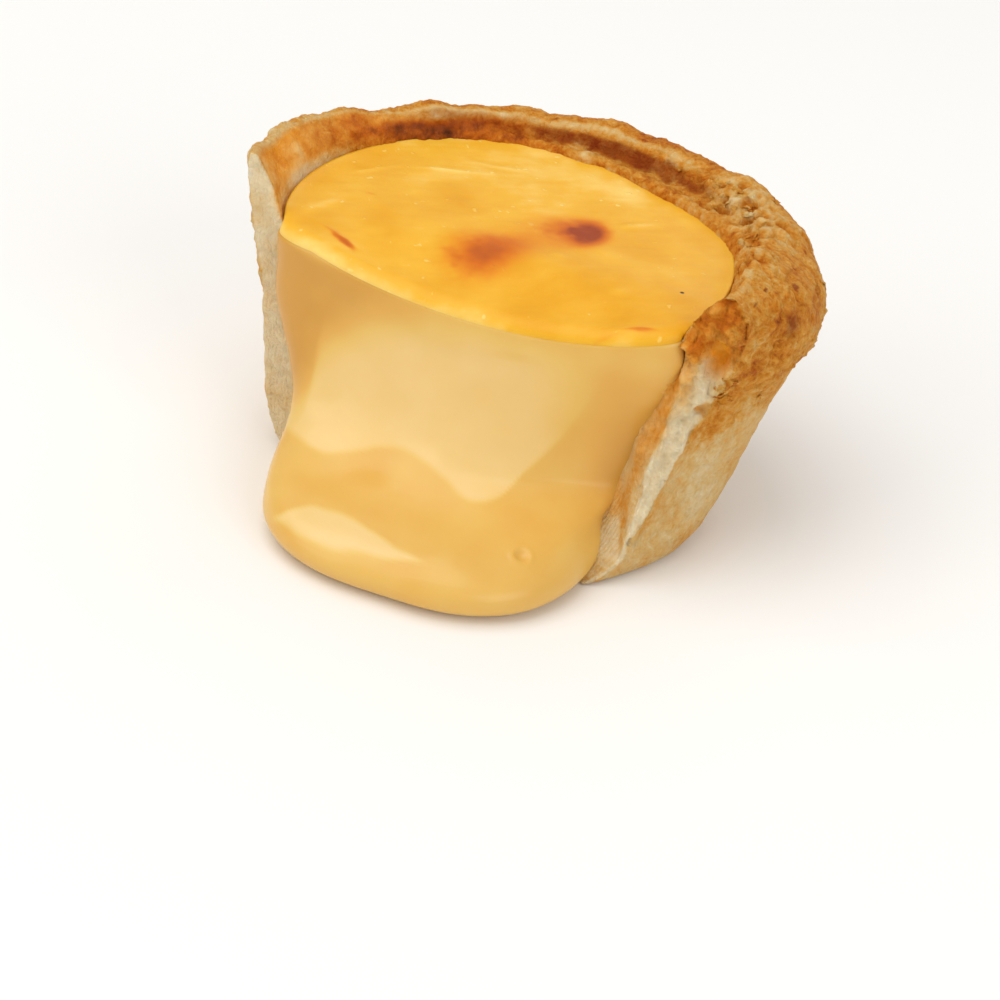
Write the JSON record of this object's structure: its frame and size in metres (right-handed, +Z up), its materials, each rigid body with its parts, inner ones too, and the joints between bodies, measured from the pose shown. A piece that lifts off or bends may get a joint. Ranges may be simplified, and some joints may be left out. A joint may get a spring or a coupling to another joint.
{
  "type": "egg tart",
  "caption": "Cut egg tart: puff pastry cup with an uneven rim, filled with custard browned on top, soft custard running out of the open cut face onto the surface.",
  "frame": {"origin": "middle of the tart's footprint box, on the surface that it stands on", "axes": "+X along the cut face to the thicker side of the pastry, +Y from the cut face to the back, +Z up"},
  "size_m": [0.0706, 0.0682, 0.0408],
  "materials": {
    "baked_pastry": "baked puff pastry, golden brown and toasted at the rim, pale at the cut and low on the wall",
    "soft_custard": "pale yellow soft custard, smooth and very glossy",
    "set_custard": "deep yellow set custard with browned spots, glossy"
  },
  "bodies": {
    "root": {"pastry_crust": "baked_pastry", "custard_filling": "soft_custard", "custard_top": "set_custard"}
  },
  "joints": []
}
